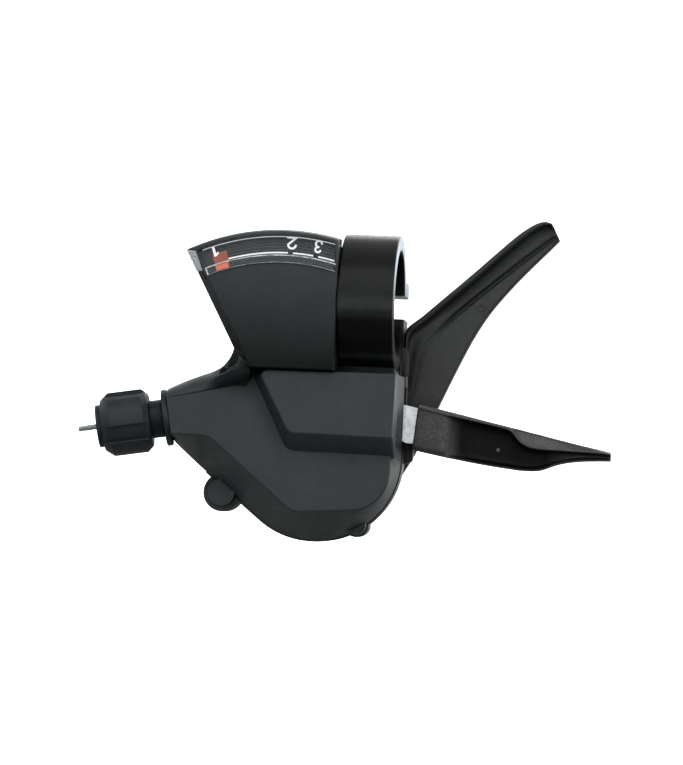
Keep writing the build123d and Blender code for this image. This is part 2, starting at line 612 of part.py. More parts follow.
def drive_ratchet():
    ring = Circle(DRIVE_R)
    for cut in saw(RATCHET_TEETH, DRIVE_R, 1.0, 6):
        ring -= mirror(cut, Plane.XZ)
    ring -= hub_section(HUB_R + SEAT)
    return slab(Pos(*AXLE) * ring, Y_DRIVE)


def drum_spring():
    return coil_about(AXLE, -4.85, 6.6, 0.45, 1.05, 2.2)


def main_axle():
    shaft = pin(AXLE, AXLE_R, (-7.1, 17.9))
    bush = pin(AXLE, AXLE_BUSH_R, (Y_BRACKET[0], Y_BRACKET[1]))
    return shaft + bush - pin(AXLE, 1.25, (11.0, 20))


def axle_bolt():
    shank = pin(AXLE, AXLE_THREAD_R, (11.5, 18.7))
    head = ease(pin(AXLE, 3.6, (18.68, 20.4)), 0.6, lambda e: e.center().Y > 20.3)
    recess = slab(Pos(*AXLE) * RegularPolygon(1.75, 6), (19.2, 22))
    return shank + head - recess


def bottom_cap():
    cap = pin(AXLE, 10.2, (18.05, 20.1))
    cap = ease(cap, 0.9, lambda e: e.center().Y > 20.05)
    cap -= pin(AXLE, 4.6, (18.65, 22)) + pin(AXLE, AXLE_THREAD_R + SEAT, (0, 30))
    return cap - pin(AXLE, 2.6, (0, 18.3))


# ---- stop pawl ----
def stop_pawl():
    nose = polar(AXLE, HOLD_R + 0.06, STOP_NOSE)
    body = outline((2.3, -26.6), (2.5, -32.0), (nose[0], nose[1] + 1.0), (nose[0] + 0.1, nose[1] - 0.6),
                   (nose[0] + 1.9, nose[1] - 0.6), (4.9, -31.5), (5.1, -26.8))
    body += disc(STOP_PIVOT, 1.9)
    body -= disc(AXLE, HOLD_R + 0.06)
    return slab(body - disc(STOP_PIVOT, PAWL_PIN_R + RUN), Y_HOLD)


def stop_pawl_pin():
    return pin(STOP_PIVOT, PAWL_PIN_R, (2.0, Y_BRACKET[1])) + pin(STOP_PIVOT, 1.6, (2.0, 2.5))


def stop_pawl_spring():
    return coil_about(STOP_PIVOT, Y_BRACKET[0] + 0.3, 1.45, 0.2, 0.5, 2.2)


# ---- release lever ----
def release_lever_arm():
    face_points = outline((-2.6, -19.6), (6.2, -20.9), (24, -24.4, 1.5), (24, -30.0, 1.5), (8.0, -29.2),
                          (6.2, -28.3), (5.8, -25.8, 0.5), (1.0, -24.8))
    body = face_points + disc(RELEASE_PIVOT, 2.95)
    return slab(body - disc(RELEASE_PIVOT, RELEASE_PIN_R + RUN), Y_DRIVE)


def release_lever_pin():
    return pin(RELEASE_PIVOT, RELEASE_PIN_R, (Y_DRIVE[0] - 0.15, Y_BRACKET[1] + 0.05))


def release_lever_cap():
    side = make_face([Polyline([(36.4, -34.0), (34.0, -34.2), (17.3, -32.2), (9.8, -30.6), (10.3, -20.6),
                                (23.3, -23.2), (51.6, -29.2), (51.6, -31.3)]),
                      Spline((51.6, -31.3), (44.9, -31.5), (40.0, -32.4), (36.4, -34.0))])
    body = slab(side, CAP_Y)
    body = ease(body, 1.0, lambda e: e.length > 6 and e.center().Z > -30 and e.center().X > 12
                and min(abs(e.center().Y - y) for y in CAP_Y) < 0.01)
    tongue = outline((8, -20.0), (24.1, -24.3), (24.1, -30.1), (8, -29.4))
    body -= slab(tongue, (Y_DRIVE[0] - SEAT, Y_DRIVE[1] + SEAT))
    return body


def release_lever_spring():
    return coil_about(RELEASE_PIVOT, Y_BRACKET[0] + 0.3, 2.1, 0.25, 0.55, 2.0)


# ---- thumb lever ----
def lever_outline():
    upper = Spline((6.1, -4.5), (19.4, 7.6), (29.8, 16.9), (35.0, 20.0), (38.2, 18.4), (38.6, 15.9))
    lower = Spline((38.6, 15.9), (32.3, 9.3), (25.1, 0.9), (20.6, -6.6), (14.0, -20.8), (5.2, -39.0))
    root = Polyline([(5.2, -39.0), (-11, -40), (-4.0, -18.0), (1.0, -13.2), (6.1, -12.8), (6.1, -4.5)])
    return make_face([upper, lower, root])


def thumb_lever():
    web = slab(lever_outline(), WEB_Y)
    hub = ease(pin(AXLE, LEVER_HUB_R, Y_LEVER), 0.7, lambda e: True)
    pad_face = make_face([
        Spline((6.1, -4.5), (19.4, 7.6), (29.8, 16.9), (35.0, 20.0), (38.2, 18.4), (38.6, 15.9)),
        Polyline([(38.6, 15.9), (36.6, 15.3), (30.1, 10.9), (21.7, 3.9), (12.6, -4.0), (6.1, -9.0),
                  (6.1, -4.5)])])
    pad = slab(pad_face, PAD_Y)
    body = web + hub + pad
    body -= pin((22.1, 0.9), 0.65, (0, 30))
    body -= pin(AXLE, 8.4, (0, 16.6)) - pin(AXLE, 5.0, (-5, 30))
    body -= slab(lever_plate_face(), (0, Y_LEVER_PLATE[1] + 0.1))
    for centre in RIVETS:
        body -= pin(centre, RIVET_R + SEAT, (0, 30)) + pin(centre, RIVET_HEAD_R + SEAT, (16.9, 30))
    return body - pin(AXLE, AXLE_R + RUN, (-20, 40))


def lever_plate_face():
    plate = Pos(*AXLE) * Circle(9.6)
    for centre in RIVETS + (DRIVE_PIN,):
        plate += bar_link(AXLE, centre, 2.6)
    return plate


def thumb_lever_plate():
    plate = lever_plate_face() - disc(AXLE, AXLE_R + RUN) - disc(DRIVE_PIN, PAWL_PIN_R + SEAT)
    for centre in RIVETS:
        plate -= disc(centre, RIVET_R + SEAT)
    return slab(plate, Y_LEVER_PLATE)


def lever_rivets():
    rivets = []
    for centre in RIVETS:
        rivet = pin(centre, RIVET_R, (Y_LEVER_PLATE[0], 17.0)) + pin(centre, RIVET_HEAD_R, (16.92, 17.9))
        rivets.append(rivet)
    return rivets


def thumb_lever_spring():
    return coil_about(AXLE, 12.5, 6.7, 0.5, 1.25, 2.5)


# ---- drive pawl ----
def drive_pawl():
    tip = polar(AXLE, DRIVE_R + 0.15, -74)
    back = polar(AXLE, DRIVE_R + 2.0, -68)
    hook = make_face(Polyline([polar(DRIVE_PIN, 1.7, 120), tip, polar(AXLE, DRIVE_R + 1.3, -76), back,
                               polar(DRIVE_PIN, 1.7, -80)], close=True))
    body = hook + disc(DRIVE_PIN, 1.8) - disc(AXLE, DRIVE_R + 0.15)
    return slab(body - disc(DRIVE_PIN, PAWL_PIN_R + RUN), Y_DRIVE)


def drive_pawl_pin():
    return pin(DRIVE_PIN, PAWL_PIN_R, (Y_DRIVE[0] - 0.15, Y_LEVER_PLATE[1]))


def drive_pawl_spring():
    return coil_about(DRIVE_PIN, 7.3, 1.45, 0.2, 0.6, 3)


NODES = {
    "top_cover": top_cover, "base_bracket": bracket, "cover_screws": cover_screws,
    "clamp_band": clamp_band, "clamp_bolt": clamp_bolt, "clamp_washer": clamp_washer,
    "clamp_nut": clamp_nut,
    "indicator_cover": indicator_cover, "indicator_base": indicator_base,
    "indicator_screws": indicator_screws, "indicator_lens": indicator_lens,
    "indicator_dial": indicator_dial, "dial_numerals": dial_numerals,
    "indicator_needle": needle, "needle_stud": needle_stud,
    "spout_bush": spout_bush, "adjuster_bolt": adjuster_bolt, "adjuster_knob": adjuster_knob,
    "casing_seat": casing_seat, "adjuster_spring": adjuster_spring,
    "inner_cable": inner_cable, "cable_nipple": cable_nipple,
    "cable_drum": cable_drum, "holding_ratchet": holding_ratchet, "drive_ratchet": drive_ratchet,
    "drum_spring": drum_spring, "main_axle": main_axle, "axle_bolt": axle_bolt,
    "bottom_cap": bottom_cap,
    "stop_pawl": stop_pawl, "stop_pawl_pin": stop_pawl_pin, "stop_pawl_spring": stop_pawl_spring,
    "release_lever_arm": release_lever_arm, "release_lever_cap": release_lever_cap,
    "release_lever_pin": release_lever_pin, "release_lever_spring": release_lever_spring,
    "thumb_lever": thumb_lever, "thumb_lever_plate": thumb_lever_plate,
    "lever_rivets": lever_rivets, "thumb_lever_spring": thumb_lever_spring,
    "drive_pawl": drive_pawl, "drive_pawl_pin": drive_pawl_pin,
    "drive_pawl_spring": drive_pawl_spring,
}

os.makedirs("parts", exist_ok=True)
for name, make in NODES.items():
    made = make()
    shape = Compound(made) if isinstance(made, list) else made
    export_step(shape, f"parts/{name}.step")
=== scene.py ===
"""Looks of an under-bar thumb shifter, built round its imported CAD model.

Sizes are in millimetres and angles in degrees, except where a comment says otherwise.
"""
import json
import math

import bmesh
import bpy
from mathutils import Matrix, Vector


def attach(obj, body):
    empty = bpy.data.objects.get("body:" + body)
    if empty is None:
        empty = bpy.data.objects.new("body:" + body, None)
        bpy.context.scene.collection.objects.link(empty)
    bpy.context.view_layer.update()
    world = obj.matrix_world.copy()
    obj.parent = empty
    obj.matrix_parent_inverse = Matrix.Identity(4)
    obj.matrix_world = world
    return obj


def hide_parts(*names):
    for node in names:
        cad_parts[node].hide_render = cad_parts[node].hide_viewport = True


MM = 0.001
materials = {}                    # every look, by its name


# ---- shader helpers ------------------------------------------------------------------------------
class Shader:
    """A node material that is built up call by call."""

    def __init__(self, name):
        self.material = bpy.data.materials.new(name)
        self.material.use_nodes = True
        materials[name] = self.material
        self.tree = self.material.node_tree
        self.surface = self.tree.nodes["Principled BSDF"]
        self.place = self.tree.nodes.new("ShaderNodeTexCoord").outputs["Object"]

    def node(self, kind, **settings):
        made = self.tree.nodes.new("ShaderNode" + kind)
        for key, value in settings.items():
            setattr(made, key, value)
        return made

    def link(self, source, target):
        self.tree.links.new(source, target)

    def noise(self, size, detail=4.0, rough=0.55, stretch=None):
        """Noise with features of about `size` millimetres."""
        made = self.node("TexNoise")
        made.inputs["Scale"].default_value = 1.0 / (size * MM)
        made.inputs["Detail"].default_value = detail
        made.inputs["Roughness"].default_value = rough
        place = self.place
        if stretch:
            mapping = self.node("Mapping")
            mapping.inputs["Scale"].default_value = stretch
            self.link(place, mapping.inputs["Vector"])
            place = mapping.outputs["Vector"]
        self.link(place, made.inputs["Vector"])
        return made.outputs["Fac"]

    def spread(self, source, low, high, out_low=0.0, out_high=1.0):
        """Maps source from low..high to out_low..out_high."""
        made = self.node("MapRange")
        for key, value in (("From Min", low), ("From Max", high), ("To Min", out_low), ("To Max", out_high)):
            made.inputs[key].default_value = value
        self.link(source, made.inputs["Value"])
        return made.outputs["Result"]

    def mix(self, factor, first, second):
        """A colour between first and second, each an (r, g, b) or a socket."""
        made = self.node("Mix", data_type="RGBA")
        self.link(factor, made.inputs[0])
        for value, slot in ((first, made.inputs[6]), (second, made.inputs[7])):
            if isinstance(value, tuple):
                slot.default_value = (*value, 1.0)
            else:
                self.link(value, slot)
        return made.outputs[2]

    def combine(self, operation, first, second):
        made = self.node("Math", operation=operation)
        self.link(first, made.inputs[0])
        self.link(second, made.inputs[1])
        return made.outputs[0]

    def part_of(self, vector, axis):
        """The X, Y or Z value of a vector socket."""
        split = self.node("SeparateXYZ")
        self.link(vector, split.inputs[0])
        return split.outputs[axis]

    def along(self, axis, low, high):
        """0 at place `low` on that axis to 1 at `high`, in millimetres."""
        return self.spread(self.part_of(self.place, axis), low * MM, high * MM)

    def steps(self, axis, stops):
        """A grey through (place on the axis in millimetres, value) stops, given in rising order."""
        first, last = stops[0][0], stops[-1][0]
        made = self.node("ValToRGB")
        made.color_ramp.interpolation = "EASE"
        elements = made.color_ramp.elements
        while len(elements) < len(stops):
            elements.new(1.0)
        for element, (place, value) in zip(elements, stops):
            element.position = (place - first) / (last - first)
            element.color = (value, value, value, 1.0)
        self.link(self.along(axis, first, last), made.inputs["Fac"])
        return made.outputs["Color"]

    def soften(self, radius):
        """Rounds hard edges in the shading, as a mould or a tumbling drum leaves them."""
        made = self.node("Bevel", samples=4)
        made.inputs["Radius"].default_value = radius * MM
        self.link(made.outputs["Normal"], self.surface.inputs["Normal"])

    def corner_shade_mask(self, reach):
        """1 in the open, towards 0 in hollows and corners narrower than `reach` millimetres: the mask for
        painted shade.
        """
        made = self.node("AmbientOcclusion", samples=6)
        made.inputs["Distance"].default_value = reach * MM
        return made.outputs["AO"]

    def bump(self, height, depth, strength=1.0):
        """Adds relief of `depth` millimetres, on top of any earlier relief."""
        made = self.node("Bump")
        made.inputs["Strength"].default_value = strength
        made.inputs["Distance"].default_value = depth * MM
        self.link(height, made.inputs["Height"])
        normal = self.surface.inputs["Normal"]
        if normal.is_linked:
            self.link(normal.links[0].from_socket, made.inputs["Normal"])
        self.link(made.outputs["Normal"], normal)

    def set(self, key, value):
        slot = self.surface.inputs[key]
        if isinstance(value, tuple):
            slot.default_value = (*value, 1.0)
        elif isinstance(value, (int, float)):
            slot.default_value = value
        else:
            self.link(value, slot)


def scaled(colour, factor, lift=0.0):
    """The colour made darker or lighter."""
    return tuple(c * factor + lift for c in colour)


# ---- kinds of look -------------------------------------------------------------------------------
EDGE_SOFT = 0.22                  # rounding of hard edges in the shading
CORNER_SHADE_REACH = 5.0                     # reach of the painted shade in corners
CORNER_SHADE_LEFT = 0.15                # what is left of the colour and the sheen in a deep corner, under painted shade
CLOUD = 6.0                       # size of paler clouds in moulded plastic
SPECKLE = 0.42                    # size of its speckles
GLOSS_PATCH = 1.6                 # size of its patches of more and less gloss
WAVE = 9.0                        # size of the slow waves in its faces
WAVE_DEPTH = 0.05
SIDE_HIGHLIGHT = (0.34, 0.39, 0.46)     # a painted highlight on the band's right-facing side
SIDE_HIGHLIGHT_RISE = (-1.0, 7.0)       # it shows more and more between these heights
BAND_DARK = 0.04                  # what is left of the band's colour where its painted reflections are 0
CRYSTAL = 1.3                     # size of the blotches on zinc plating
LENS_FLOW = 1.2                   # size of the flow marks in clear plastic


def moulded(name, colour, rough, grain=0.22, depth=0.012, speckle=0.0, painted_fade=None, shine=0.4):
    """Moulded plastic: fine grain, cloudy sheen and painted shade in its corners.

    With a fade given as (axis, dark place, light place, what is left in the dark), painted shade darkens it
    along that axis.
    """
    shader = Shader(name)
    shader.soften(EDGE_SOFT)
    clouds = shader.spread(shader.noise(CLOUD, 3.0), 0.35, 0.7)
    base = shader.mix(clouds, colour, scaled(colour, 1.3, 0.001))
    if speckle:
        dots = shader.spread(shader.noise(SPECKLE, 2.0, 0.7), 0.54, 0.70, 0.0, speckle)
        base = shader.mix(dots, base, scaled(colour, 4, 0.03))
    # painted shade: colour and sheen darken in corners and hollows, and along a fade if one is given
    unshaded_share = shader.spread(shader.corner_shade_mask(CORNER_SHADE_REACH), 0.25, 0.95)
    if painted_fade:
        axis, dark, light, left = painted_fade
        lit = shader.spread(shader.along(axis, dark, light), 0.0, 1.0, left, 1.0)
        unshaded_share = shader.combine("MULTIPLY", unshaded_share, lit)
    gloss = shader.spread(shader.noise(GLOSS_PATCH, 5.0), 0.3, 0.75, rough - 0.06, rough + 0.07)
    shader.set("Base Color", shader.mix(unshaded_share, scaled(colour, CORNER_SHADE_LEFT), base))
    shader.set("Roughness", gloss)
    shader.set("Specular IOR Level", shader.spread(unshaded_share, 0.0, 1.0, CORNER_SHADE_LEFT * shine, shine))
    shader.bump(shader.noise(grain, 2.0, 0.6), depth)
    shader.bump(shader.noise(WAVE, 2.0), WAVE_DEPTH, 0.5)


def coated_metal(name, colour, rough, shine=0.42, sheen=None):
    """Semi-gloss black coat over turned metal, with faint turning lines and orange peel.

    `sheen` is a list of (z, brightness) stops: painted reflections, bands of light and dark down a polished
    ring.
    """
    shader = Shader(name)
    shader.soften(EDGE_SOFT)
    cloudy = shader.spread(shader.noise(4.0), 0.3, 0.7, 0.0, 0.4)
    base = shader.mix(cloudy, colour, scaled(colour, 2.5))
    if sheen:
        # painted reflections: the colour follows bands of light and dark along Z
        base = shader.mix(shader.steps("Z", sheen), scaled(colour, BAND_DARK), base)
        # a painted highlight on the band's faces turned to the right, growing upwards
        facing = shader.part_of(shader.node("NewGeometry").outputs["Normal"], "X")
        right_side = shader.spread(facing, 0.85, 0.98)
        painted_side_mask = shader.combine("MULTIPLY", right_side, shader.along("Z", *SIDE_HIGHLIGHT_RISE))
        base = shader.mix(painted_side_mask, base, SIDE_HIGHLIGHT)
    turning = shader.noise(0.7, 4.0, 0.6, (1, 0.15, 0.15))
    shader.set("Base Color", base)
    shader.set("Roughness", shader.spread(turning, 0.3, 0.7, rough - 0.05, rough + 0.08))
    shader.set("Specular IOR Level", shine)
    shader.bump(shader.noise(0.35, 3.0, 0.6, (3, 0.3, 0.3)), 0.004)


def zinc(name, colour, rough, blotch=0.5):
    """Zinc-plated steel with crystalline blotches and light scratches."""
    shader = Shader(name)
    patches = shader.spread(shader.noise(CRYSTAL, 6.0, 0.7), 0.38, 0.64)
    shader.set("Base Color", shader.mix(patches, scaled(colour, 1 - blotch), colour))
    shader.set("Metallic", 1.0)
    shader.set("Roughness", shader.spread(shader.noise(0.5, 4.0), 0.3, 0.7, rough - 0.08, rough + 0.12))
    shader.bump(shader.noise(0.25, 5.0, 0.7), 0.01)
    shader.bump(shader.noise(0.18, 2.0, 0.5, (0.1, 0.1, 1)), 0.004)


def clear_plastic(name, tint, haze):
    """Clear plastic: what lies behind shows through, with a sheen and faint flow marks on top."""
    shader = Shader(name)
    shader.set("Base Color", tint)
    shader.set("Roughness", shader.spread(shader.noise(2.0), 0.3, 0.7, 0.06, 0.14))
    shader.bump(shader.noise(5.0, 2.0), 0.01, 0.4)
    glancing = shader.node("LayerWeight")
    glancing.inputs["Blend"].default_value = 0.2
    sheen = shader.spread(glancing.outputs["Facing"], 0.0, 1.0, 0.012, 0.8)
    flow = shader.spread(shader.noise(LENS_FLOW, 5.0, 0.7, (1, 1, 3)), 0.35, 0.7, 0.0, haze)
    shader.set("Alpha", shader.combine("ADD", sheen, flow))


def printed(name, colour, rough=0.5, painted_glow=0.0):
    """Ink, with slight unevenness; a glow, which is painted light, keeps white ink white behind the clear
    plastic.
    """
    shader = Shader(name)
    uneven = shader.spread(shader.noise(0.5), 0.35, 0.65)
    shader.set("Base Color", shader.mix(uneven, scaled(colour, 0.86), colour))
    shader.set("Roughness", shader.spread(shader.noise(0.8), 0.3, 0.7, rough - 0.05, rough + 0.05))
    shader.set("Emission Color", colour)
    shader.set("Emission Strength", painted_glow)
    shader.bump(shader.noise(0.15), 0.004)


def paint(obj, material):
    obj.data.materials.clear()
    obj.data.materials.append(material)


# ---- mesh helpers --------------------------------------------------------------------------------
SHARP_ANGLE = 40                  # sharper edges stay hard on a piece that isn't subdivided


def add_piece(name, points, faces, slot, body, levels=0):
    """A smooth mesh piece from points in millimetres."""
    data = bpy.data.meshes.new(name)
    data.from_pydata([(x * MM, y * MM, z * MM) for x, y, z in points], [], faces)
    data.validate()
    bm = bmesh.new()
    bm.from_mesh(data)
    bmesh.ops.recalc_face_normals(bm, faces=bm.faces)
    bm.to_mesh(data)
    bm.free()
    data.polygons.foreach_set("use_smooth", [True] * len(data.polygons))
    if not levels:
        data.set_sharp_from_angle(angle=math.radians(SHARP_ANGLE))
    piece = bpy.data.objects.new(name, data)
    bpy.context.scene.collection.objects.link(piece)
    if levels:
        modifier = piece.modifiers.new("smooth", "SUBSURF")
        modifier.levels = modifier.render_levels = levels
    paint(piece, materials[slot])
    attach(piece, body)
    return piece


def loft(name, loops, slot, body, levels=0):
    """A closed skin over loops of equal length, with flat ends."""
    count = len(loops[0])
    points = [point for loop in loops for point in loop]
    faces = []
    for row in range(len(loops) - 1):
        for k in range(count):
            after = (k + 1) % count
            faces.append((row * count + k, row * count + after,
                          (row + 1) * count + after, (row + 1) * count + k))
    faces.append(tuple(range(count)))
    faces.append(tuple(range((len(loops) - 1) * count, len(loops) * count)))
    return add_piece(name, points, faces, slot, body, levels)


def lathe(name, centre, profile, slot, body, sides):
    """A ring turned about an axis parallel to Y, from a closed profile of (radius, y)."""
    count = len(profile)
    points = []
    faces = []
    for side in range(sides):
        angle = 2 * math.pi * side / sides
        for radius, y in profile:
            points.append((centre[0] + radius * math.cos(angle), y, centre[1] + radius * math.sin(angle)))
        for k in range(count):
            after = (k + 1) % count
            far = (side + 1) % sides
            faces.append((side * count + k, side * count + after, far * count + after, far * count + k))
    return add_piece(name, points, faces, slot, body)


def block(name, x_loops, slot):
    """A piece along X from (x, [(y, z), ...]) loops, on the fixed body."""
    loft(name, [[(x, y, z) for y, z in loop] for x, loop in x_loops], slot, "root")


def spline(points, steps):
    """Points along a smooth curve through the given ones."""
    made = []
    ends = [points[0], *points, points[-1]]
    for before, start, end, after in zip(ends, ends[1:], ends[2:], ends[3:]):
        for step in range(steps):
            t = step / steps
            made.append(tuple(0.5 * (2 * b + (c - a) * t + (2 * a - 5 * b + 4 * c - d) * t * t
                                     + (3 * b - a - 3 * c + d) * t ** 3)
                              for a, b, c, d in zip(before, start, end, after)))
    return made + [tuple(points[-1])]


def polar(centre, radius, angle):
    return (centre[0] + radius * math.cos(math.radians(angle)),
            centre[1] + radius * math.sin(math.radians(angle)))


# ---- scene ---------------------------------------------------------------------------------------
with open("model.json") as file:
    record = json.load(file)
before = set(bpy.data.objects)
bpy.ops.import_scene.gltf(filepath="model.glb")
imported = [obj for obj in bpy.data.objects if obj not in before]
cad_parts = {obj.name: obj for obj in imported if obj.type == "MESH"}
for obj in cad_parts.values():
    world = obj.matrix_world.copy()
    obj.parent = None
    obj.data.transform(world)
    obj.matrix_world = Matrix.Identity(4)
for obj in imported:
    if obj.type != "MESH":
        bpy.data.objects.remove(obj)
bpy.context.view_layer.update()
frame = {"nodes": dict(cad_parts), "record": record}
nodes = frame["nodes"]

PANEL_PAINTED_SHADE = ("Z", -14.5, 13.0, 0.05)        # painted shade: the panel darkens downwards
SHOULDER_PAINTED_SHADE = ("X", -24.5, -37.0, 0.45)    # painted shade: the shoulder is darker next to the panel
CAP_PAINTED_SHADE = ("Y", 4.0, 2.3, 0.02)             # painted shade: the hollow of the release lever's cap is dark
SLATE = (0.0088, 0.0128, 0.0142)
# Painted reflections: brightness up the clamp band, as (z, share) from its foot to its top.
RING_PAINTED_REFLECTIONS = [(-14.4, 0.05), (-12.7, 0.15), (-11.7, 1.0), (-10.9, 0.3), (-8.5, 0.02), (-4.8, 0.03),
              (-3.2, 0.4), (-1.6, 1.0), (1.4, 0.5), (5.0, 0.22), (10.0, 0.25), (14.4, 0.5)]
moulded("cover_plastic", SLATE, 0.56, 0.16, 0.010, shine=0.36)
moulded("panel_plastic", (0.0112, 0.0155, 0.0172), 0.5, 0.16, 0.010, painted_fade=PANEL_PAINTED_SHADE)
moulded("shoulder_plastic", SLATE, 0.5, 0.16, 0.010, painted_fade=SHOULDER_PAINTED_SHADE, shine=0.36)
moulded("bracket_plastic", (0.008, 0.009, 0.0095), 0.5)
moulded("lever_plastic", (0.0058, 0.0071, 0.0069), 0.44, 0.3, 0.012, 0.2, shine=0.34)
moulded("release_plastic", (0.0075, 0.0078, 0.008), 0.42, 0.3, 0.018, 0.6, painted_fade=CAP_PAINTED_SHADE)
moulded("knob_plastic", (0.0055, 0.0083, 0.0105), 0.5, 0.3, 0.01, shine=0.24)
coated_metal("clamp_black", (0.0125, 0.0138, 0.0142), 0.34, 0.1, RING_PAINTED_REFLECTIONS)
coated_metal("black_bolt", (0.015, 0.015, 0.016), 0.4)
zinc("zinc_screw", (0.55, 0.55, 0.52), 0.35, 0.3)
zinc("zinc_steel", (0.8, 0.83, 0.84), 0.42, 0.3)
zinc("steel_part", (0.55, 0.55, 0.55), 0.3, 0.25)
zinc("cable_steel", (0.3, 0.33, 0.33), 0.35, 0.4)
moulded("drum_plastic", (0.5, 0.5, 0.47), 0.5)
clear_plastic("clear_lens", (0.2, 0.26, 0.27), 0.008)
clear_plastic("lens_wall", (0.065, 0.085, 0.09), 0.36)
# painted glints and a painted highlight on the lens's edges
clear_plastic("lens_glint", (0.85, 0.9, 0.92), 1.0)
clear_plastic("lens_edge", (0.5, 0.57, 0.59), 0.75)
printed("dial_grey", (0.06, 0.065, 0.07), 0.5)
printed("dial_black", (0.02, 0.0235, 0.026), 0.6)
printed("tick_black", (0.005, 0.006, 0.0065), 0.6)
# the white ink glows a little: painted light
printed("numeral_white", (0.88, 0.89, 0.9), painted_glow=0.3)
printed("needle_orange", (0.34, 0.078, 0.045))
# a lighter copy of the needle's orange, for the pointer's painted reflection
printed("needle_lit", (0.6, 0.14, 0.09))
for part in frame["record"]["subparts"]:
    paint(nodes[part["node"]], materials[part["material_slot"]])
# the panel and the shoulder get looks with painted shade
paint(nodes["indicator_cover"], materials["panel_plastic"])
paint(nodes["indicator_base"], materials["shoulder_plastic"])

# ---- gear window ---------------------------------------------------------------------------------
AXLE = (-11.0, -32.5)             # as (x, z); the thumb lever and the drum turn about it
NEEDLE = (-17.5, -32.5)           # the needle turns about it
DIAL_Y = -12.53                   # the dial's front
INK = 0.05                        # thickness of the white lines
FAINT_SUNK = 0.02                 # the faint lines are this much thinner
TICK_PROUD = 0.03                 # and the ticks this much thicker
# Name, radius, half the width, start and end angle
WHITE_LINES = [("line_outer", 44.8, 0.09, (74.9, 112.6)), ("line_inner", 41.45, 0.15, (74.4, 107.0))]
FAINT_LINES = (42.1, 42.75, 43.35, 43.9)
FAINT_HALF = 0.05
FAINT_START = 75.2
FAINT_END = 110.5
FAINT_SHORTER = 1.5               # each faint line ends this much before the one inside it
TICK_ANGLES = (88.2, 80.8)
TICK_HALF = 0.75
TICK_R = (41.1, 42.1)
# The digit's outline, upright, about the point that DIGIT_ONE_R and DIGIT_ONE_ANGLE give
DIGIT_ONE = [(-0.1, -1.3), (0.38, -1.3), (0.38, 0.85), (-0.02, 0.85), (-0.75, 0.35), (-0.6, 0.02),
             (-0.1, 0.33)]
DIGIT_ONE_R = 43.4
DIGIT_ONE_ANGLE = 109.4
DIGIT_ONE_Y = (-13.3, -13.2)
# The step in the lens along its inner arc, with painted glints along its outer edge and left end and a
# painted highlight along its inner edge: name, radii, angles, depths and look
LENS_STEP = [("lens_wall_band", (39.35, 40.75), (73.9, 113.2), (-14.5, -14.38), "lens_wall"),
             ("lens_wall_top", (40.66, 40.88), (74.1, 113.4), (-14.58, -14.4), "lens_glint"),
             ("lens_wall_left", (39.3, 40.7), (113.0, 113.35), (-14.57, -14.4), "lens_glint"),
             ("lens_wall_low", (39.25, 39.36), (73.8, 113.4), (-14.56, -14.4), "lens_edge")]
# The lens wraps round the panel's slanting left side: place (x, z), y, and its shift along X
LENS_END = [((-35.85, 8.55), -14.36, 0.0), ((-37.95, 8.85), -12.45, -0.25),
            ((-35.55, 4.35), -12.45, -0.25), ((-34.2, 4.55), -14.36, 0.0)]
# Each layer's share drawn in towards the middle, and how far it stands proud
LENS_END_LAYERS = ((0.0, -0.05), (0.0, 0.12), (0.12, 0.22))
# The pointer's painted reflection in the lens's step: radii, angles and depths
POINTER_PAINTED_REFLECTION = ((39.5, 40.5), (106.4, 110.3), (-14.55, -14.52))


def arc_strip(name, radii, angles, depths, slot, body="root"):
    """A thin arc about the needle's pivot."""
    loops = []
    steps = max(2, int(abs(angles[1] - angles[0]) * 2))
    for step in range(steps + 1):
        angle = angles[0] + (angles[1] - angles[0]) * step / steps
        inner = polar(NEEDLE, radii[0], angle)
        outer = polar(NEEDLE, radii[1], angle)
        loops.append([(inner[0], depths[0], inner[1]), (outer[0], depths[0], outer[1]),
                      (outer[0], depths[1], outer[1]), (inner[0], depths[1], inner[1])])
    return loft(name, loops, slot, body)


def dial_print():
    front = DIAL_Y - INK
    for name, radius, half, angles in WHITE_LINES:
        arc_strip(name, (radius - half, radius + half), angles, (front, DIAL_Y), "numeral_white")
    for number, radius in enumerate(FAINT_LINES):
        angles = (FAINT_START, FAINT_END - number * FAINT_SHORTER)
        arc_strip(f"line_faint_{number}", (radius - FAINT_HALF, radius + FAINT_HALF), angles,
                  (front + FAINT_SUNK, DIAL_Y), "dial_grey")
    for number, angle in enumerate(TICK_ANGLES):
        arc_strip(f"gear_tick_{number}", TICK_R, (angle - TICK_HALF, angle + TICK_HALF),
                  (front - TICK_PROUD, DIAL_Y), "tick_black")


def digit_one():
    """The first digit again, inside the lens, so that it stays readable over the pointer."""
    x, z = polar(NEEDLE, DIGIT_ONE_R, DIGIT_ONE_ANGLE)
    turn = math.radians(DIGIT_ONE_ANGLE + 90)
    loops = [[(x + u * math.cos(turn) - v * math.sin(turn), y, z + u * math.sin(turn) + v * math.cos(turn))
              for u, v in DIGIT_ONE] for y in DIGIT_ONE_Y]
    loft("digit_one", loops, "numeral_white", "root")


def lens_end():
    middle = [sum(place[k] for place, y, aside in LENS_END) / 4 for k in (0, 1)]
    loops = []
    for shrink, proud in LENS_END_LAYERS:
        loop = []
        for (x, z), y, aside in LENS_END:
            shift = aside if proud > 0 else 0.0
            loop.append((x + (middle[0] - x) * shrink + shift, y - proud, z + (middle[1] - z) * shrink))
        loops.append(loop)
    # the end carries a painted highlight
    loft("lens_end", loops, "lens_edge", "root")


def dress_window():
    dial_print()
    digit_one()
    for name, radii, angles, depths, look in LENS_STEP:
        arc_strip(name, radii, angles, depths, look)
    lens_end()
    # The lens's step shows the pointer a second time, as a painted reflection.
    arc_strip("pointer_painted_reflection", *POINTER_PAINTED_REFLECTION, "needle_lit", "needle")


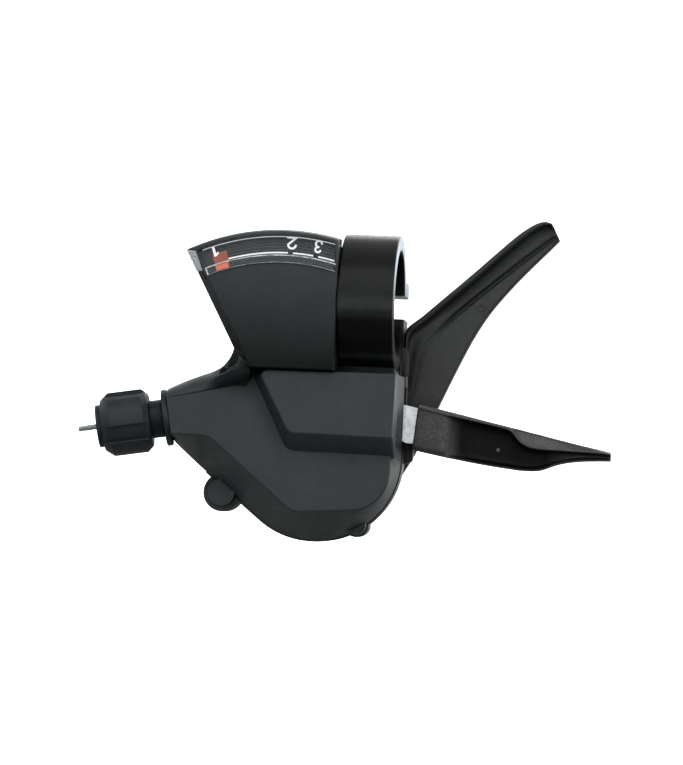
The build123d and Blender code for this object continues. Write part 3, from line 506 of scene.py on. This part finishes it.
# ---- fillets of the casing -----------------------------------------------------------------------
# The shoulder runs from the spout up into the window's lower left corner. Each station has its lower
# edge on the cover's face, the point that pulls its bulge out, and its upper edge, as (x, y, z).
SHOULDER = [
    ((-41.8, -8.4, -22.0), (-41.9, -7.4, -20.4), (-42.0, -4.0, -20.0)),
    ((-36.3, -8.6, -20.8), (-37.4, -8.0, -18.6), (-38.5, -4.0, -18.3)),
    ((-32.7, -8.7, -19.95), (-34.0, -8.9, -17.4), (-35.3, -4.0, -17.0)),
    ((-29.1, -8.9, -19.1), (-30.4, -15.5, -16.4), (-31.9, -4.0, -15.7)),
    ((-25.3, -9.6, -18.2), (-28.0, -18.8, -15.2), (-30.1, -4.0, -14.6)),
    ((-23.6, -12.6, -16.4), (-26.9, -17.0, -13.9), (-28.9, -4.5, -13.0)),
    ((-24.0, -14.25, -14.2), (-26.2, -15.6, -12.4), (-28.3, -5.0, -11.4))]
SHOULDER_STEPS = 4                # loops from each station to the next
BULGE_STEPS = 7                   # steps across the bulge
LIP_R = (11.8, 13.2)              # the saddle's lip, beside the band's foot
LIP_ANGLES = (-152, 48)           # start and sweep, in the plane of y and z
LIP_STEPS = 8
LIP_X = (-7.4, -5.97)
FIN_ROOT = [(10.1, -15.4), (10.1, -9.6), (11.4, -8.6), (12.3, -9.4), (12.3, -14.6)]     # (y, z)
FIN_X = (5.6, 6.9, 7.4)           # the fin keeps its section up to the second of these, then narrows


def shoulder():
    flat = [[value for point in station for value in point] for station in SHOULDER]
    loops = []
    for values in spline(flat, SHOULDER_STEPS):
        foot, pull, top = (Vector(values[k:k + 3]) for k in (0, 3, 6))
        loop = []
        for step in range(BULGE_STEPS + 1):
            t = step / BULGE_STEPS
            loop.append(tuple(foot * (1 - t) ** 2 + pull * (2 * t * (1 - t)) + top * t ** 2))
        behind_top = top + Vector((0.0, 3.0, -0.8))
        behind_foot = foot + Vector((0, 1.5, -0.3))
        loop += [tuple(behind_top), (foot.x, behind_top.y, foot.z), tuple(behind_foot)]
        loops.append(loop)
    loft("spout_shoulder", loops, "shoulder_plastic", "root")


def saddle_lip():
    start, sweep = LIP_ANGLES
    angles = [math.radians(start + sweep * step / LIP_STEPS) for step in range(LIP_STEPS + 1)]
    outline = [(LIP_R[0], angle) for angle in angles] + [(LIP_R[1], angle) for angle in reversed(angles)]
    loop = [(radius * math.cos(angle), radius * math.sin(angle)) for radius, angle in outline]
    block("saddle_lip", [(x, loop) for x in LIP_X], "bracket_plastic")


def bracket_fin():
    tip = [(y + 0.2 * (11.2 - y), z + 0.12 * (-12 - z)) for y, z in FIN_ROOT]
    block("bracket_fin", zip(FIN_X, (FIN_ROOT, FIN_ROOT, tip)), "bracket_plastic")


# ---- thumb lever ---------------------------------------------------------------------------------
# Across the lever at each station, from its root to its tip: upper edge and lower edge as (x, z),
# place of the ridge as a share of the width, and the ridge's strength.
LEVER_STATIONS = [
    ((-4.0, -18.0), (1.8, -43.0), 0.40, 0.0), ((1.0, -13.3), (5.0, -38.5), 0.40, 0.0),
    ((6.2, -12.9), (9.4, -31.0), 0.38, 0.0), ((6.2, -8.5), (13.0, -23.0), 0.38, 0.0),
    ((6.2, -4.5), (16.2, -15.8), 0.38, 0.0), ((9.4, -1.7), (19.0, -9.7), 0.40, 0.2),
    ((13.0, 1.6), (21.7, -4.4), 0.45, 0.8), ((19.3, 7.3), (25.1, 0.9), 0.54, 1.0),
    ((25.6, 13.2), (30.0, 6.8), 0.66, 1.0), ((29.8, 17.0), (34.0, 11.1), 0.73, 1.0),
    ((33.0, 19.2), (36.8, 14.0), 0.78, 1.0), ((35.1, 19.9), (38.0, 15.3), 0.79, 1.0),
    ((36.6, 19.6), (38.5, 15.9), 0.79, 1.0)]
LEVER_STEPS = 3                   # loops from each station to the next
LEVER_WIDTH = 7.5                 # below this width the lip across the lever shrinks with it
WEB_Y = 14.3                      # front of the flat web
RIDGE_Y = 14.35                   # the ridge rises from here, between two hollows
LEVER_TIP = ((0.12, 0.97), (0.22, 0.85))     # rounding of the tip: distance out, and thickness left
# Closed profiles of (radius, y)
HUB_PROFILE = [(5.0, 12.1), (15.9, 12.05), (16.35, 12.25), (16.5, 12.8), (16.5, 17.2), (16.3, 17.75),
               (15.9, 17.95), (14.4, 17.98), (14.15, 17.74), (5.0, 17.7)]
HOLE_SHADE_PROFILE = [(0.02, 14.16), (0.45, 14.14), (0.6, 14.06), (0.7, 14.1), (0.7, 14.5), (0.02, 14.5)]
LEVER_HOLE_SHADE = (22.35, 0.73)         # a small dark button on the web, painted shade for the hole that shows there


def lever_section(width, ridge, strength):
    """A loop of (distance from the upper edge, y) round the lever: its lip, hollow, ridge and web."""
    size = min(1.0, width / LEVER_WIDTH)
    crest = ridge * width
    hollow = RIDGE_Y + 0.55 * strength
    proud = RIDGE_Y - 0.4 * strength
    front = [(0.0, 14.2), (0.06, 13.3), (0.3 * size, 12.85), (0.8 * size, 12.7), (1.35 * size, 12.95),
             (1.7 * size, 13.9), (2.1 * size, 14.5), (crest * 0.62 + 0.6, hollow),
             (crest - 0.7 * size, hollow - 0.15 * strength), (crest - 0.18 * size, proud),
             (crest + 0.1 * size, proud), (crest + 0.32 * size, RIDGE_Y + 0.12 * strength),
             (crest + 0.9 * size, WEB_Y), ((crest + width) / 2, WEB_Y), (width - 0.55 * size, WEB_Y),
             (width - 0.15 * size, 14.45), (width, 14.9)]
    back = [(width, 17.0), (width - 0.15 * size, 17.45), (width - 0.6 * size, 17.6), (width * 0.6, 17.6),
            (3.4 * size, 17.65), (2.5 * size, 18.3), (2.0 * size, 20.0), (1.5 * size, 21.2),
            (0.8 * size, 21.6), (0.3 * size, 21.4), (0.05, 20.9), (0.0, 19.5)]
    return front + back


def thumb_lever():
    stations = [(*upper, *lower, ridge, strength) for upper, lower, ridge, strength in LEVER_STATIONS]
    loops = []
    for upper_x, upper_z, lower_x, lower_z, ridge, strength in spline(stations, LEVER_STEPS):
        width = math.dist((upper_x, upper_z), (lower_x, lower_z))
        loop = []
        for distance, y in lever_section(width, ridge, strength):
            share = distance / width
            loop.append((upper_x + (lower_x - upper_x) * share, y, upper_z + (lower_z - upper_z) * share))
        loops.append(loop)
    last = loops[-1]
    middle_y = sum(point[1] for point in last) / len(last)
    for out, left in LEVER_TIP:
        loops.append([(x + out, middle_y + (y - middle_y) * left, z - out / 2) for x, y, z in last])
    blade = loft("thumb_lever_blade", loops, "lever_plastic", "thumb", 2)
    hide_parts("thumb_lever")
    lathe("thumb_lever_hub", AXLE, HUB_PROFILE, "lever_plastic", "thumb", 128)
    # a dark button: painted shade for the hole in the web
    lathe("thumb_lever_hole_shade", LEVER_HOLE_SHADE, HOLE_SHADE_PROFILE, "tick_black", "thumb", 32)


# ---- release lever -------------------------------------------------------------------------------
# Along the cap: x, top z, bottom z, how far below the top the upper face reaches, and y of the hollow
# below that face
CAP_STATIONS = [
    (9.95, -20.9, -30.6, 1.0, 2.0), (10.1, -20.85, -30.7, 1.0, 1.85), (10.5, -20.9, -30.8, 1.0, 1.8),
    (13.5, -21.5, -31.4, 1.0, 1.8), (16.7, -22.1, -32.0, 1.0, 1.8), (17.15, -22.2, -32.1, 1.0, 2.1),
    (18.2, -22.4, -32.2, 0.95, 3.3), (21.0, -23.0, -32.7, 0.85, 4.6), (26.0, -24.1, -33.4, 0.7, 5.0),
    (29.5, -24.8, -33.8, 0.65, 5.0), (30.6, -25.05, -33.9, 0.9, 5.0), (31.4, -25.2, -34.0, 1.9, 4.8),
    (32.4, -25.4, -34.1, 2.9, 4.6), (34.0, -25.8, -34.15, 3.35, 4.4), (36.0, -26.2, -34.1, 3.3, 4.3),
    (37.6, -26.55, -33.7, 3.0, 4.1), (39.3, -26.95, -32.9, 2.6, 3.6), (41.5, -27.4, -32.2, 2.2, 3.2),
    (45.0, -28.15, -31.6, 1.5, 3.0), (49.5, -29.0, -31.4, 0.75, 2.9), (51.0, -29.3, -31.35, 0.6, 2.6),
    (51.4, -29.4, -31.35, 0.6, 2.0), (51.6, -29.5, -31.3, 0.6, 2.0)]
CAP_SLANT = 1.0                   # the cap's inner end leans, this much over its height
CAP_SLANT_REACH = 5.0             # and the lean dies out over this length
PAD_X = 30                        # the thumb's pad starts here
CAP_SLOPE = 0.1                   # how far the upper face's top lies back
PAD_SLOPE = 0.9                   # and the pad's
MARK = (27.7, -29.9)              # a small round mark in the hollow
MARK_PROFILE = [(0.05, 5.05), (0.35, 5.0), (0.42, 4.85), (0.3, 4.72), (0.05, 4.7)]


def cap_section(height, reach, hollow, slope):
    """A loop of (distance below the top, y) round the cap: upper face, hollow, lower rim and back."""
    reach = min(reach, height * 0.55)
    rim = min(0.32, height * 0.12)
    front = [(0.0, 2.2 + slope), (0.12, 1.75 + slope), (reach * 0.5, 1.7 + slope / 2), (reach - 0.1, 1.65),
             (reach + 0.06, 1.75), (reach + 0.25, (hollow * 2 + 1.8) / 3), (reach + 0.5, hollow),
             ((height + reach) / 2, hollow), (height - rim * 2.6, hollow),
             (height - rim * 1.7, (hollow + 2.2) / 2), (height - rim, 2.05), (height - rim * 0.4, 2.05),
             (height, 2.6)]
    back = [(height, 4.5), (height, 9.8), (height - 0.3, 10.7), (height - 0.8, 10.85), (height / 2, 10.9),
            (0.6, 10.85), (0.15, 10.6), (0.0, 10.0), (0.0, 4.5)]
    return front + back


def release_cap():
    loops = []
    for x, top, bottom, reach, hollow in CAP_STATIONS:
        height = top - bottom
        section = cap_section(height, reach, hollow, PAD_SLOPE if x > PAD_X else CAP_SLOPE)
        slant = CAP_SLANT * max(0.0, 1 - (x - CAP_STATIONS[0][0]) / CAP_SLANT_REACH)
        loops.append([(x + slant * (0.6 - down / height), y, top - down) for down, y in section])
    cap = loft("release_cap", loops, "release_plastic", "release", 2)
    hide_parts("release_lever_cap")
    lathe("release_cap_mark", MARK, MARK_PROFILE, "dial_grey", "release", 24)


# ---- cable ---------------------------------------------------------------------------------------
CABLE_R = 0.6
CABLE_TURN_R = 11.6               # radius of its turn on the drum
CABLE_Y = 0.3
CABLE_DROP = 9.8                  # how steeply its free run falls
CABLE_LEAN = 6.0                  # and comes forward
CABLE_RUN = 49.4                  # length of that run
CABLE_STEP = 0.4
CABLE_WRAP_END = 34               # angle on the drum at which the cable ends
WRAP_STEPS = 24
STRANDS = 6
STRAND_SIDES = 8
STRAND_SHARE = 0.36               # a strand's radius as a share of the cable's
LAY = 7.0                         # length in which a strand goes once round


def cable_path():
    path = []
    for step in range(WRAP_STEPS + 1):
        angle = CABLE_WRAP_END + (90 + CABLE_DROP - CABLE_WRAP_END) * step / WRAP_STEPS
        x, z = polar(AXLE, CABLE_TURN_R, angle)
        path.append(Vector((x, CABLE_Y, z)))
    drop, lean = math.radians(CABLE_DROP), math.radians(CABLE_LEAN)
    way = Vector((-math.cos(drop) * math.cos(lean), -math.sin(lean), -math.sin(drop) * math.cos(lean)))
    start = path[-1]
    return path + [start + way * (CABLE_STEP * step) for step in range(1, int(CABLE_RUN / CABLE_STEP) + 1)]


def cable():
    path = cable_path()
    strand_r = CABLE_R * STRAND_SHARE
    sides = [2 * math.pi * k / STRAND_SIDES for k in range(STRAND_SIDES)]
    for number in range(STRANDS):
        loops = []
        travelled = 0.0
        for place, after, before in zip(path[1:-1], path[2:], path):
            travelled += (place - before).length
            along = (after - before).normalized()
            side = along.cross(Vector((0, 1, 0))).normalized()
            up = side.cross(along)
            turn = 2 * math.pi * (travelled / LAY + number / STRANDS)
            middle = place + (side * math.cos(turn) + up * math.sin(turn)) * (CABLE_R - strand_r)
            loops.append([tuple(middle + (side * math.cos(a) + up * math.sin(a)) * strand_r)
                          for a in sides])
        strand = loft(f"cable_strand_{number}", loops, "cable_steel", "root")
        if number == 0:
            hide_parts("inner_cable")


dress_window()
shoulder()
saddle_lip()
bracket_fin()
thumb_lever()
release_cap()
cable()

# ---- stage, in metres ----------------------------------------------------------------------------
FLOOR_Z = -0.085
FLOOR_R = 0.9                     # the flat part of the floor
CURVE_R = 0.6                     # then it curves up
WALL_TOP = 2.2
FLOOR_SIDES = 64
CURVE_STEPS = 12
FLOOR_GLOW = 0.35                 # light that the floor gives to the object
FLOOR_SEEN = 1.05                 # and to the camera, so that it reads as white
SKY = 0.16                        # light from all round
# Name, place, aim, size and power of each lamp
LAMPS = [("key", (0.1, -0.8, 0.8), (0, 0, 0), (0.8, 0.5), 4.8),
         ("low_fill", (0.15, -0.95, -0.02), (0, 0, -0.02), (0.9, 0.1), 1.1),
         ("right_fill", (0.9, -0.35, 0.15), (0, 0, 0), (0.5, 0.7), 1.6),
         ("rim", (0.8, 0.45, 0.1), (0, 0, 0), (0.4, 0.6), 11),
         ("top", (0.05, 0.1, 1.1), (0, 0, 0), (0.9, 0.9), 3),
         ("back", (0.2, 0.9, 0.5), (0, 0, 0), (0.8, 0.6), 5)]


def bowl():
    """A pale floor whose far edge curves up all round, so that no horizon shows."""
    profile = [(FLOOR_R, 0.0)]
    for step in range(1, CURVE_STEPS + 1):
        angle = math.radians(90 * step / CURVE_STEPS)
        profile.append((FLOOR_R + CURVE_R * math.sin(angle), CURVE_R - CURVE_R * math.cos(angle)))
    profile.append((FLOOR_R + CURVE_R, WALL_TOP))
    mesh = bmesh.new()
    rings = []
    for radius, height in profile:
        angles = [2 * math.pi * k / FLOOR_SIDES for k in range(FLOOR_SIDES)]
        rings.append([mesh.verts.new((radius * math.cos(a), radius * math.sin(a), height)) for a in angles])
    mesh.faces.new(rings[0])
    for low, high in zip(rings, rings[1:]):
        for k in range(FLOOR_SIDES):
            after = (k + 1) % FLOOR_SIDES
            mesh.faces.new((low[k], low[after], high[after], high[k]))
    data = bpy.data.meshes.new("floor")
    mesh.to_mesh(data)
    mesh.free()
    data.polygons.foreach_set("use_smooth", [True] * len(data.polygons))
    floor = bpy.data.objects.new("floor", data)
    bpy.context.scene.collection.objects.link(floor)
    floor.location.z = FLOOR_Z
    shader = Shader("floor_white")
    shader.set("Base Color", shader.mix(shader.noise(400.0, 2.0), (0.80, 0.80, 0.80), (0.82, 0.82, 0.82)))
    shader.set("Roughness", 0.9)
    shader.set("Emission Color", (1.0, 1.0, 1.0))
    seen = shader.node("LightPath").outputs["Is Camera Ray"]
    shader.set("Emission Strength", shader.spread(seen, 0.0, 1.0, FLOOR_GLOW, FLOOR_SEEN))
    paint(floor, shader.material)


def area_light(name, place, aim, size, power):
    data = bpy.data.lights.new(name, "AREA")
    data.shape = "RECTANGLE"
    data.size, data.size_y = size
    data.energy = power
    lamp = bpy.data.objects.new(name, data)
    lamp.location = place
    lamp.rotation_euler = (Vector(aim) - Vector(place)).to_track_quat("-Z", "Y").to_euler()
    bpy.context.scene.collection.objects.link(lamp)


def light_studio():
    world = bpy.data.worlds.new("studio")
    bpy.context.scene.world = world
    world.use_nodes = True
    background = world.node_tree.nodes["Background"]
    background.inputs["Color"].default_value = (1, 1, 1, 1)
    background.inputs["Strength"].default_value = SKY
    for lamp in LAMPS:
        area_light(*lamp)


# The camera stands 600 mm from the clamp, a little to its right and below it, and leans slightly.
CAMERA_DISTANCE = 600 * MM
CAMERA_YAW = math.radians(6)
CAMERA_RISE = math.radians(-4)
CAMERA_LEAN = math.radians(2.5)
AIM_SHIFT = (-6.46 * MM, -16.84 * MM)     # from the clamp to the picture's centre, right and up
CAMERA_LENS = 133.3
CAMERA_NEAR = 0.01                # in metres


def make_camera():
    back = Vector((math.sin(CAMERA_YAW) * math.cos(CAMERA_RISE),
                   -math.cos(CAMERA_YAW) * math.cos(CAMERA_RISE),
                   math.sin(CAMERA_RISE)))
    right = (-back).cross(Vector((0, 0, 1))).normalized()
    up = right.cross(-back)
    lean_right = right * math.cos(CAMERA_LEAN) + up * math.sin(CAMERA_LEAN)
    lean_up = up * math.cos(CAMERA_LEAN) - right * math.sin(CAMERA_LEAN)
    place = back * CAMERA_DISTANCE
    aim = lean_right * AIM_SHIFT[0] + lean_up * AIM_SHIFT[1]
    away = (place - aim).normalized()
    side = lean_up.cross(away).normalized()
    turned = Matrix((side, away.cross(side), away)).transposed().to_4x4()
    data = bpy.data.cameras.new("camera")
    data.lens = CAMERA_LENS
    data.clip_start = CAMERA_NEAR
    camera = bpy.data.objects.new("camera", data)
    camera.matrix_world = Matrix.Translation(place) @ turned
    bpy.context.scene.collection.objects.link(camera)
    bpy.context.scene.camera = camera


bowl()
light_studio()
make_camera()
bpy.context.scene.view_settings.view_transform = "Standard"
